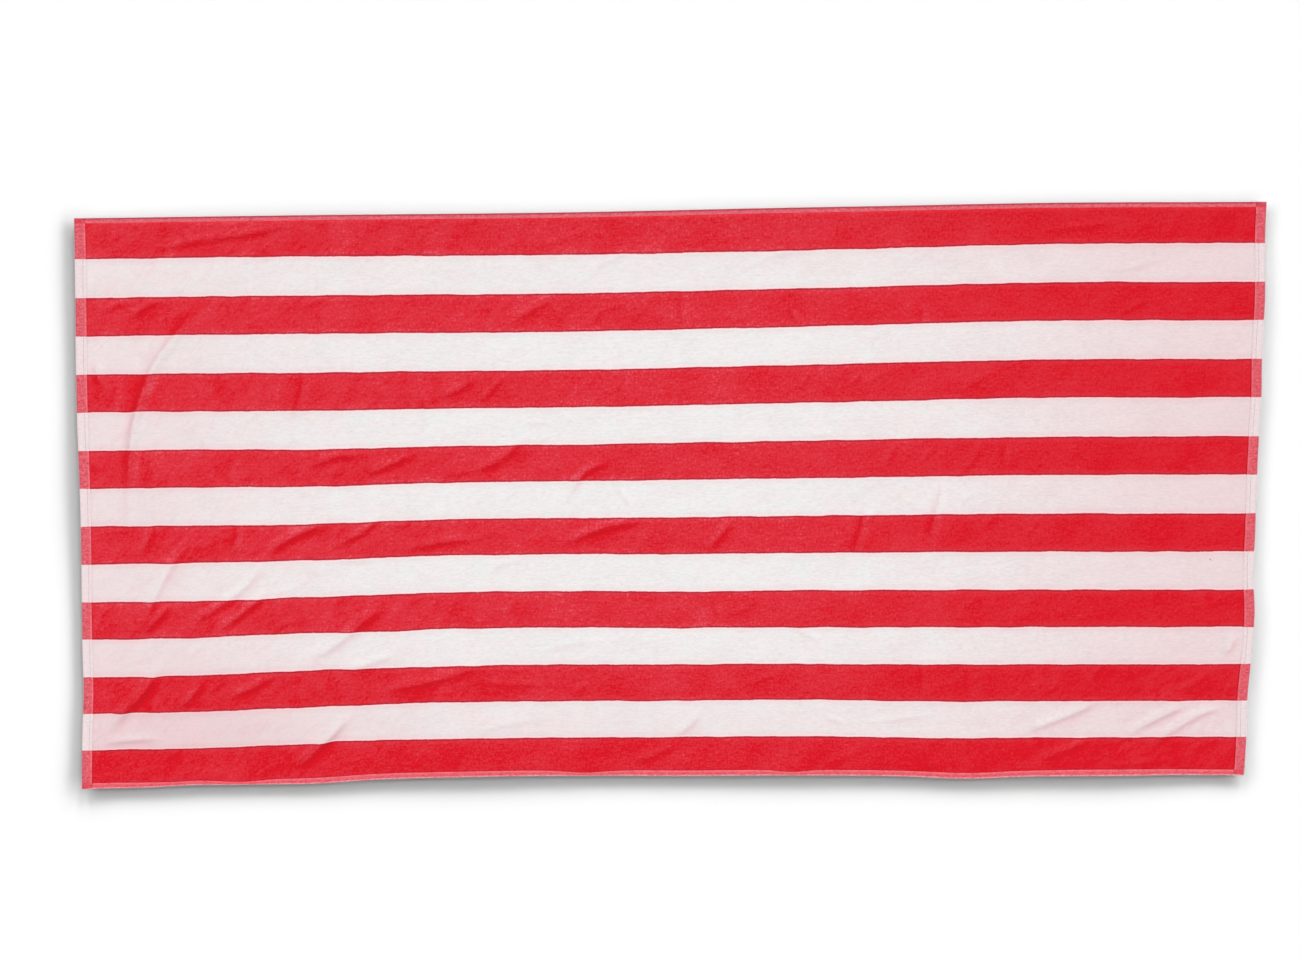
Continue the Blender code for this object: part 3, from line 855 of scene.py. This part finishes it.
def add_stitch_row(name, length, place, turn):
    """One row of lockstitches, each a short bowed length of thread, middle at place, still flat."""
    row = new_piece(
        name,
        bpy.ops.mesh.primitive_cylinder_add,
        vertices=6,
        radius=THREAD / 2,
        depth=STITCH - STITCH_GAP,
        rotation=(0, math.pi / 2, 0),
    )
    bpy.ops.object.transform_apply(rotation=True)
    bpy.ops.object.mode_set(mode="EDIT")
    for place_along in STITCH_CUTS:
        bpy.ops.mesh.select_all(action="SELECT")
        bpy.ops.mesh.bisect(plane_co=(place_along * STITCH, 0, 0), plane_no=(1, 0, 0))
    bpy.ops.object.mode_set(mode="OBJECT")
    points = read_points(row)
    from_middle = 2 * points[:, 0] / (STITCH - STITCH_GAP)  # -1 and 1 are its ends
    points[:, 1:] *= np.sqrt(1 - STITCH_TAPER * from_middle**2)[:, None] * [1, STITCH_FLAT]
    points[:, 2] += THREAD * (STITCH_RISE - STITCH_DIP * from_middle**2)
    write_points(row, points)

    count = int(length / STITCH)
    repeat = row.modifiers.new("repeat", "ARRAY")
    repeat.count = count
    repeat.use_relative_offset = False
    repeat.use_constant_offset = True
    repeat.constant_offset_displace = (STITCH, 0, 0)
    bpy.ops.object.modifier_apply(modifier="repeat")
    row.location = (-(count - 1) * STITCH / 2, 0, 0)
    bpy.ops.object.transform_apply(location=True)
    row.location = (*place, 0)
    row.rotation_euler = (0, 0, turn)
    bpy.ops.object.transform_apply(location=True, rotation=True)
    return row


def add_sewing():
    """The hems' sewing: one row of stitches inside each hem's fold."""
    left, right = (LENGTH / 2 - hem.sewing for hem in END_HEMS)
    low, high = (WIDTH / 2 - hem.sewing for hem in SIDE_HEMS)
    along, across = LENGTH - 2 * END_HEMS[1].sewing, WIDTH - 2 * RIM_ROUND
    rows = [
        add_stitch_row("hem_stitches", along, (0, high), 0),
        add_stitch_row("bottom_row", along, (0, -low), 0),
        add_stitch_row("left_row", across, (-left, 0), math.pi / 2),
        add_stitch_row("right_row", across, (right, 0), math.pi / 2),
    ]
    for row in rows:
        row.select_set(True)
    sewing = rows[0]
    bpy.context.view_layer.objects.active = sewing
    bpy.ops.object.join()
    flat = read_points(sewing)
    u, v = flat[:, 0], flat[:, 1]
    write_points(sewing, (laid(u, v) + [0, 0, 1] * (top_height(u, v) + flat[:, 2])[:, None]) * MM)
    sewing.data.materials.append(spun_sewing_thread())
    bpy.ops.object.shade_smooth()
    return sewing


# ---------------------------------------------------------------- materials


def linear(colour):
    """An sRGB colour, as hex, in the linear numbers that a shader takes."""
    parts = [int(colour[place : place + 2], 16) / 255 for place in (1, 3, 5)]
    return (*(c / 12.92 if c <= 0.04045 else ((c + 0.055) / 1.055) ** 2.4 for c in parts), 1)


def set_up(node, settings):
    """Sets a node's properties and sockets. A socket takes a value, a colour as hex, or what is
    linked into it: another socket, or a node, by its first output that is in use."""
    for name, value in settings.items():
        if isinstance(value, bpy.types.Node):
            value = next(socket for socket in value.outputs if socket.enabled)
        if isinstance(name, str) and hasattr(node, name):
            setattr(node, name, value)
        elif isinstance(value, bpy.types.NodeSocket):
            node.id_data.links.new(value, node.inputs[name])
        else:
            node.inputs[name].default_value = linear(value) if isinstance(value, str) else value


def add(tree, kind, *sockets, **settings):
    """Adds a node and sets it up: its first sockets in order, and the rest by name."""
    node = tree.nodes.new("ShaderNode" + kind)
    set_up(node, {**settings, **dict(enumerate(sockets))})
    return node


def new_material(name, settings):
    """A material, its node tree, and its shader with those settings."""
    material = bpy.data.materials.new(name)
    material.use_nodes = True
    shader = material.node_tree.nodes["Principled BSDF"]
    set_up(shader, settings)
    return material, material.node_tree, shader


def cut_cloth(tree):
    """The cloth's place on its cut, in metres."""
    return add(tree, "UVMap", uv_map="cut_cloth")


def uneven(tree, place, layers):
    """Patches of more and less, about 0: the layers of noise, each times its share, added up."""
    total = None
    for layer in layers:
        size = (layer.long * MM, layer.wide * MM, 1)
        turn = (0, 0, math.radians(layer.turn))
        at = add(tree, "Mapping", vector_type="TEXTURE", Vector=place, Scale=size, Rotation=turn)
        noise = add(tree, "TexNoise", Vector=at, Scale=1, Detail=2, Roughness=0.55)
        step = add(tree, "Math", noise, layer.share, -layer.share / 2, operation="MULTIPLY_ADD")
        total = add(tree, "Math", step, total, operation="ADD") if total else step
    return total


def stripe_masks(tree, place):
    """Where the cloth is white and not red, from 0 to 1, and how far a stripe's edge is, in mm."""
    v = add(tree, "SeparateXYZ", Vector=place).outputs["Y"]
    wander = uneven(tree, place, STRIPE_WANDER)
    v = add(tree, "Math", wander, MM, v, operation="MULTIPLY_ADD")
    count = add(tree, "Math", v, 1 / (STRIPE * MM), STRIPES / 2, operation="MULTIPLY_ADD")
    held = add(tree, "Clamp", Value=count, Min=0.0, Max=STRIPES - 0.001)
    whole = add(tree, "Math", held, operation="FLOOR")
    white = add(tree, "Math", whole, 2, operation="MODULO")
    to_edge = add(tree, "Math", held, 0.5, operation="PINGPONG")
    to_edge = add(tree, "Math", to_edge, STRIPE, operation="MULTIPLY")
    return white, to_edge


def ramp(near, far, at_near=1, at_far=0):
    """A map range's settings: at_near where the value is up to near, and at_far past far."""
    return {"From Min": near, "From Max": far, "To Min": at_near, "To Max": at_far}


def hair_creases(tree, place, crumple):
    """Thin lines of painted crease shade, here and there, most where the cloth was crumpled."""
    hair_shade = uneven(tree, place, HAIR_CREASES)
    hair_shade = add(tree, "Math", hair_shade, operation="ABSOLUTE")
    hair_shade = add(tree, "MapRange", Value=hair_shade, **ramp(*HAIR_WIDTH))
    here = uneven(tree, place, BROKEN_UP)
    here = add(tree, "MapRange", Value=here, **ramp(*HAIR_STOPS))
    for share in (here, crumple):
        hair_shade = add(tree, "Math", hair_shade, share, operation="MULTIPLY")
    return hair_shade


def pile_haze(tree, place, traits):
    """How hazy the pile stands, a painted sheen, from painted shade deep in the creases to where it is
    brushed up.
    """
    along, across, _ = add(tree, "SeparateXYZ", Vector=place).outputs
    haze = uneven(tree, place, CRUMPLED_PILE)
    haze = add(tree, "Math", haze, traits["crumple"], operation="MULTIPLY")
    grain = add(tree, "MapRange", Value=along, **ramp(*GRAIN_ALONG))
    smoothed = add(tree, "MapRange", Value=traits["crumple"], **ramp(*GRAIN_CRUMPLED))
    for share in (smoothed, uneven(tree, place, BRUSHED_PILE)):
        grain = add(tree, "Math", grain, share, operation="MULTIPLY")
    haze = add(tree, "Math", haze, grain, operation="ADD")
    for name, share in HAZE_SHARES.items():
        haze = add(tree, "Math", traits[name], share, haze, operation="MULTIPLY_ADD")
    base = add(tree, "MapRange", Value=along, **ramp(*HAZE_ALONG))
    less = add(tree, "MapRange", Value=across, **ramp(*LESS_HAZE_BELOW))
    base = add(tree, "Math", base, less, operation="SUBTRACT")
    base = add(tree, "Math", base, LEAST_HAZE, operation="MAXIMUM")
    return add(tree, "Math", haze, base, operation="ADD")


def red_pile(tree, place, traits):
    """Deep red to hazy red, the haze a painted sheen, with a painted highlight where it is haziest,
    its pale ground in flecks, and painted shade along a stripe's edge and beside a hem.
    """
    haze = traits["haze"]
    highlight_and_flecks = add(tree, "MapRange", Value=haze, **ramp(*SHEEN_HIGHLIGHT))
    flecks = uneven(tree, place, PALE_FLECKS)
    flecks = add(tree, "MapRange", Value=flecks, **ramp(*BARE_FLECKS))
    highlight_and_flecks = add(tree, "Math", highlight_and_flecks, flecks, operation="MAXIMUM")
    # A thin painted shade along the red's edges.
    dark = add(tree, "Math", traits["edge"], 0.8, operation="MULTIPLY")
    red = add(tree, "Mix", data_type="RGBA", Factor=haze, A="#DC1022", B="#E43E4C")
    for share, colour in ((highlight_and_flecks, "#EE7482"), (dark, "#902234"), (traits["seam"], "#D05662")):
        red = add(tree, "Mix", data_type="RGBA", Factor=share, A=red, B=colour)
    shade = {"blend_type": "MULTIPLY", "Factor": traits["beside_hem"]}
    return add(tree, "Mix", data_type="RGBA", A=red, B="#C08CA4", **shade)


def white_pile(tree, place, traits):
    """White, pink in places and beside the red, with the creases' painted shade in pink, a pale painted
    highlight along a stripe's edge, and painted shade beside a hem.
    """
    blush = traits["blush"]
    mottle = uneven(tree, place, WHITE_PILE)
    along = add(tree, "SeparateXYZ", Vector=place).outputs["X"]
    streaks = add(tree, "MapRange", Value=along, **ramp(*STREAKS_ALONG))
    pink = add(tree, "Math", mottle, streaks, blush, operation="MULTIPLY_ADD")
    for name, share in PINK_SHARES.items():
        pink = add(tree, "Math", traits[name], share, pink, operation="MULTIPLY_ADD")
    pink = add(tree, "Math", pink, 0.7, 0.1, operation="MULTIPLY_ADD")
    cool = uneven(tree, place, WHITE_TINT)
    cool = add(tree, "Math", cool, 0.1, operation="ADD")
    unblushed = add(tree, "MapRange", Value=blush, **ramp(*COOL_WHITE))
    cool = add(tree, "Math", cool, unblushed, operation="MULTIPLY")
    grey = add(tree, "Math", mottle, -0.6, 0.12, operation="MULTIPLY_ADD")
    plain = add(tree, "Mix", data_type="RGBA", Factor=pink, A="#F6F2F1", B="#EEC5CA")
    for share, colour in ((cool, "#F0F4F5"), (grey, "#D9D2D3")):
        plain = add(tree, "Mix", data_type="RGBA", Factor=share, A=plain, B=colour)
    # A pale painted highlight along the white's edges, pinker where the white is.
    rim = add(tree, "Mix", data_type="RGBA", Factor=blush, A="#FFE8E8", B="#FFC8CC")
    plain = add(tree, "Mix", data_type="RGBA", Factor=traits["edge"], A=plain, B=rim)
    plain = add(tree, "Mix", data_type="RGBA", Factor=traits["seam"], A=plain, B="#FFC8CC")
    shade = {"blend_type": "MULTIPLY", "Factor": traits["beside_hem"]}
    plain = add(tree, "Mix", data_type="RGBA", A=plain, B="#EAE2E5", **shade)
    for speck in SPECKS:
        middle = (speck.u * MM, speck.v * MM, 0)
        out = add(tree, "VectorMath", place, middle, operation="DISTANCE")
        near, far = (share * speck.size * MM for share in SPECK_EDGE)
        spot = add(tree, "MapRange", Value=out, **ramp(near, far, SPECK_DEPTH))
        plain = add(tree, "Mix", data_type="RGBA", Factor=spot, A=plain, B="#C4607A")
    return plain


def cotton_velour():
    """Sheared cotton velour, yarn-dyed: a short dense pile, matt, with a pale haze, a painted sheen,
    where it is brushed up, and painted shade deep in the creases with a painted highlight on
    their crests."""
    nap = {"Sheen Weight": 0.1, "Sheen Roughness": 0.5}
    material, tree, shader = new_material(
        "sheared_cotton_velour", {"Roughness": 0.95, "Specular IOR Level": 0.12, **nap}
    )
    place = cut_cloth(tree)
    white, to_edge = stripe_masks(tree, place)
    traits = {
        name: add(tree, "Attribute", attribute_name=name).outputs["Fac"]
        for name in ("crease", "crumple", "blush", "from_pile", "shade")
    }
    for name, reach in (("edge", STRIPE_EDGE), ("seam", STRIPE_SEAM), ("bleed", STRIPE_BLEED)):
        traits[name] = add(tree, "MapRange", Value=to_edge, **ramp(*reach))
    inside = add(tree, "Math", traits["from_pile"], -1, operation="MULTIPLY")
    beside = add(tree, "MapRange", Value=inside, **ramp(*HEM_SHADE))
    traits["beside_hem"] = add(tree, "Math", beside, traits["shade"], operation="MULTIPLY")
    traits["hair_shade"] = hair_creases(tree, place, traits["crumple"])
    traits["haze"] = pile_haze(tree, place, traits)
    red = red_pile(tree, place, traits)
    plain = white_pile(tree, place, traits)
    colour = add(tree, "Mix", data_type="RGBA", Factor=white, A=red, B=plain)
    ends = uneven(tree, place, PILE_ENDS)
    bump = add(tree, "Bump", Height=ends, Strength=0.6, Distance=0.5 * MM)
    set_up(shader, {"Base Color": colour, "Normal": bump})
    return material


def hemmed_cotton_weave():
    """The flat plain weave of the turned hems, with no pile: paler, with white weft in the red, a
    painted highlight where the fold's sewn edge stands up beside the pile, a painted highlight on
    some rims and a line of painted shade inside others, and painted shade along the end hem's fold."""
    material, tree, shader = new_material(
        "flat_woven_cotton_hem", {"Roughness": 0.9, "Specular IOR Level": 0.2}
    )
    place = cut_cloth(tree)
    white, _ = stripe_masks(tree, place)
    names = ("from_pile", "from_edge", "across_fold", "in_corner", "worn", "rim_line", "shade")
    from_pile, from_edge, across_fold, in_corner, worn, rim_line, shade = (
        add(tree, "Attribute", attribute_name=name).outputs["Fac"] for name in names
    )
    weave = uneven(tree, place, HEM_WEAVE)
    weave = add(tree, "Math", weave, 0.45, operation="ADD")
    # Random breaks in the hem's painted highlights.
    highlight_breaks = uneven(tree, place, HEM_HIGHLIGHT_BREAKS)
    highlight_breaks = add(tree, "Math", highlight_breaks, 0.62, operation="ADD", use_clamp=True)
    ragged = uneven(tree, place, HEM_RAGGED)
    for more in (from_pile, shade):
        ragged = add(tree, "Math", ragged, more, operation="ADD")
    ridge = add(tree, "MapRange", Value=ragged, **ramp(*HEM_RIDGE))
    ridge = add(tree, "Math", ridge, highlight_breaks, operation="MULTIPLY")
    # A line of painted shade inside the rim.
    line = add(tree, "MapRange", Value=from_edge, **ramp(*RIM_LINE))
    line = add(tree, "Math", line, rim_line, operation="MULTIPLY")
    rim_highlight = add(tree, "MapRange", Value=from_edge, **ramp(*RIM_HIGHLIGHT))
    for share in (worn, highlight_breaks):
        rim_highlight = add(tree, "Math", rim_highlight, share, operation="MULTIPLY")
    fringe = add(tree, "MapRange", Value=from_edge, **ramp(*RIM_FRINGE))
    pale = add(tree, "Math", fringe, rim_highlight, operation="MAXIMUM")
    # A line of painted shade along the end hem's fold, across the side hems.
    fold = add(tree, "MapRange", Value=across_fold, **ramp(*CORNER_FOLD))
    # The hems that take a painted highlight are brighter all over.
    bright = add(tree, "Math", worn, 0.3, operation="MULTIPLY")
    corner = add(tree, "Math", in_corner, 0.7, operation="MULTIPLY")

    red = add(tree, "Mix", data_type="RGBA", Factor=weave, A="#D43C4C", B="#F07C86")
    for share, colour in (
        (bright, "#F85462"),
        (ridge, "#FF7C88"),
        (corner, "#E43E50"),
        (fold, "#A43040"),
        (line, "#8C3048"),
        (pale, "#F6B4BA"),
    ):
        red = add(tree, "Mix", data_type="RGBA", Factor=share, A=red, B=colour)
    plain = add(tree, "Mix", data_type="RGBA", Factor=weave, A="#ECD6D9", B="#F4E8E9")
    for share, colour in ((line, "#DCC4C8"), (pale, "#F6DCDF")):
        plain = add(tree, "Mix", data_type="RGBA", Factor=share, A=plain, B=colour)
    colour = add(tree, "Mix", data_type="RGBA", Factor=white, A=red, B=plain)
    bump = add(tree, "Bump", Height=weave, Strength=0.5, Distance=0.3 * MM)
    set_up(shader, {"Base Color": colour, "Normal": bump})
    return material


def looped_cotton_terry():
    """The back of the cloth, whose loops weren't sheared: coarser, a little duller, and darker between
    the loops, a painted shade in their hollows.
    """
    material, tree, shader = new_material(
        "looped_cotton_terry", {"Roughness": 0.95, "Specular IOR Level": 0.2}
    )
    place = cut_cloth(tree)
    white, _ = stripe_masks(tree, place)
    size = (*(side * MM for side in TERRY_LOOP), 1)
    at = add(tree, "Mapping", vector_type="TEXTURE", Vector=place, Scale=size)
    loops = add(tree, "TexVoronoi", Vector=at, Scale=1, Randomness=0.7)
    red = add(tree, "Mix", data_type="RGBA", Factor=loops, A="#DD3545", B="#B81A29")
    plain = add(tree, "Mix", data_type="RGBA", Factor=loops, A="#EEE9EA", B="#D3C6C8")
    colour = add(tree, "Mix", data_type="RGBA", Factor=white, A=red, B=plain)
    bump = add(tree, "Bump", Height=loops, Strength=0.8, Distance=0.8 * MM, invert=True)
    set_up(shader, {"Base Color": colour, "Normal": bump})
    return material


def spun_sewing_thread():
    """Spun polyester thread in a pale red, softly shiny along its twist."""
    material, tree, shader = new_material("spun_polyester_thread", {"Roughness": 0.55})
    twist = uneven(tree, add(tree, "TexCoord").outputs["Object"], THREAD_TWIST)
    twist = add(tree, "Math", twist, 0.5, operation="ADD")
    colour = add(tree, "Mix", data_type="RGBA", Factor=twist, A="#B4505F", B="#D88A94")
    set_up(shader, {"Base Color": colour})
    return material


def pale_paper():
    """A seamless pale grey paper floor, matt, which the low light turns white."""
    settings = {"Base Color": "#B3B3B3", "Roughness": 0.9, "Specular IOR Level": 0.1}
    return new_material("matt_pale_grey_paper", settings)[0]


def lit_white_paper():
    """The backdrop's white paper, lit so evenly that it shows no shade."""
    light = {"Emission Color": "#FFFFFF", "Emission Strength": 1}
    settings = {"Base Color": "#000000", "Specular IOR Level": 0, **light}
    return new_material("evenly_lit_white_paper", settings)[0]


# ---------------------------------------------------------------- studio


def add_floor():
    """The plain floor that the towel lies on."""
    floor = new_piece("studio_floor", bpy.ops.mesh.primitive_plane_add, size=FLOOR_SIZE)
    floor.data.materials.append(pale_paper())
    return floor


def add_backdrop():
    """A white half dome all round the floor, which is seen but throws neither light nor shadow."""
    dome = new_piece(
        "studio_backdrop",
        bpy.ops.mesh.primitive_uv_sphere_add,
        segments=64,
        ring_count=32,
        radius=BACKDROP_RADIUS,
    )
    bpy.ops.object.mode_set(mode="EDIT")
    bpy.ops.mesh.select_all(action="SELECT")
    bpy.ops.mesh.bisect(plane_co=(0, 0, -MM), plane_no=(0, 0, 1), clear_inner=True)
    bpy.ops.mesh.select_all(action="SELECT")
    bpy.ops.mesh.flip_normals()
    bpy.ops.object.mode_set(mode="OBJECT")
    dome.data.materials.append(lit_white_paper())
    dome.visible_diffuse = False
    dome.visible_glossy = False
    dome.visible_shadow = False


def add_soft_sun(name, azimuth, elevation, spread, light, only_on):
    """A wide even light from far off, which falls on those objects only. Azimuth 0 is at +Y, and
    90 at +X. What it throws on the floor is a share, light, of what makes white paper white."""
    a, e = math.radians(azimuth), math.radians(elevation)
    away = Vector((math.sin(a) * math.cos(e), math.cos(a) * math.cos(e), math.sin(e)))
    turn = away.to_track_quat("Z", "Y").to_euler()
    make = bpy.ops.object.light_add
    sun = new_piece(name, make, type="SUN", location=away * LAMP_DISTANCE, rotation=turn)
    sun.data.angle = math.radians(spread)
    sun.data.energy = light * math.pi / math.sin(e)
    sun.light_linking.receiver_collection = bpy.data.collections.new(name + "_falls_on")
    for lit in only_on:
        sun.light_linking.receiver_collection.objects.link(lit)


def add_studio(floor, towel):
    """The softboxes over the towel, the ring that shades the floor, and a trace of light all round."""
    for softbox in SOFTBOXES:
        add_soft_sun(*softbox, only_on=towel)
    for number in range(RING):
        azimuth = (number + 0.5) * 360 / RING  # so that none shines straight along an edge
        towards = math.cos(math.radians(azimuth - RING_BRIGHTEST))
        elevation = RING_ELEVATION[0] - RING_ELEVATION[1] * towards
        light = RING_LIGHT / RING * (1 + RING_CONTRAST * towards)
        add_soft_sun(f"low_softbox_{number}", azimuth, elevation, RING_SPREAD, light, [floor])
    world = bpy.data.worlds.new("pale_studio")
    bpy.context.scene.world = world
    world.use_nodes = True
    set_up(world.node_tree.nodes["Background"], {"Color": "#FFFFFF", "Strength": SKY})
    bpy.context.scene.view_settings.view_transform = "Standard"


def add_camera():
    """The photograph's view: from above the towel's middle, tilted a little towards its top edge."""
    tilt, roll = math.radians(CAMERA_TILT), math.radians(CAMERA_ROLL)
    towards_top = Vector((math.sin(roll), math.cos(roll), 0))
    back = towards_top * math.sin(tilt) + Vector((0, 0, math.cos(tilt)))
    up = towards_top * math.cos(tilt) - Vector((0, 0, math.sin(tilt)))
    turn = Matrix((up.cross(back), up, back)).transposed()
    target = Vector((*(np.array(CAMERA_TARGET) + OFFSET), 0)) * MM
    place = target + back * CAMERA_DISTANCE
    make = bpy.ops.object.camera_add
    camera = new_piece("photo_camera", make, location=place, rotation=turn.to_euler())
    camera.data.lens = LENS
    camera.data.sensor_width = SENSOR
    bpy.context.scene.camera = camera


def main():
    """The camera, the floor and the backdrop, the towel's two pieces, and the light on them."""
    add_camera()
    floor = add_floor()
    add_backdrop()
    cloth = add_cloth()
    finish_cloth(cloth)
    sewing = add_sewing()
    add_studio(floor, [cloth, sewing])
    for piece in (cloth, sewing):
        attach(piece, "root")
    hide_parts("towel")


main()
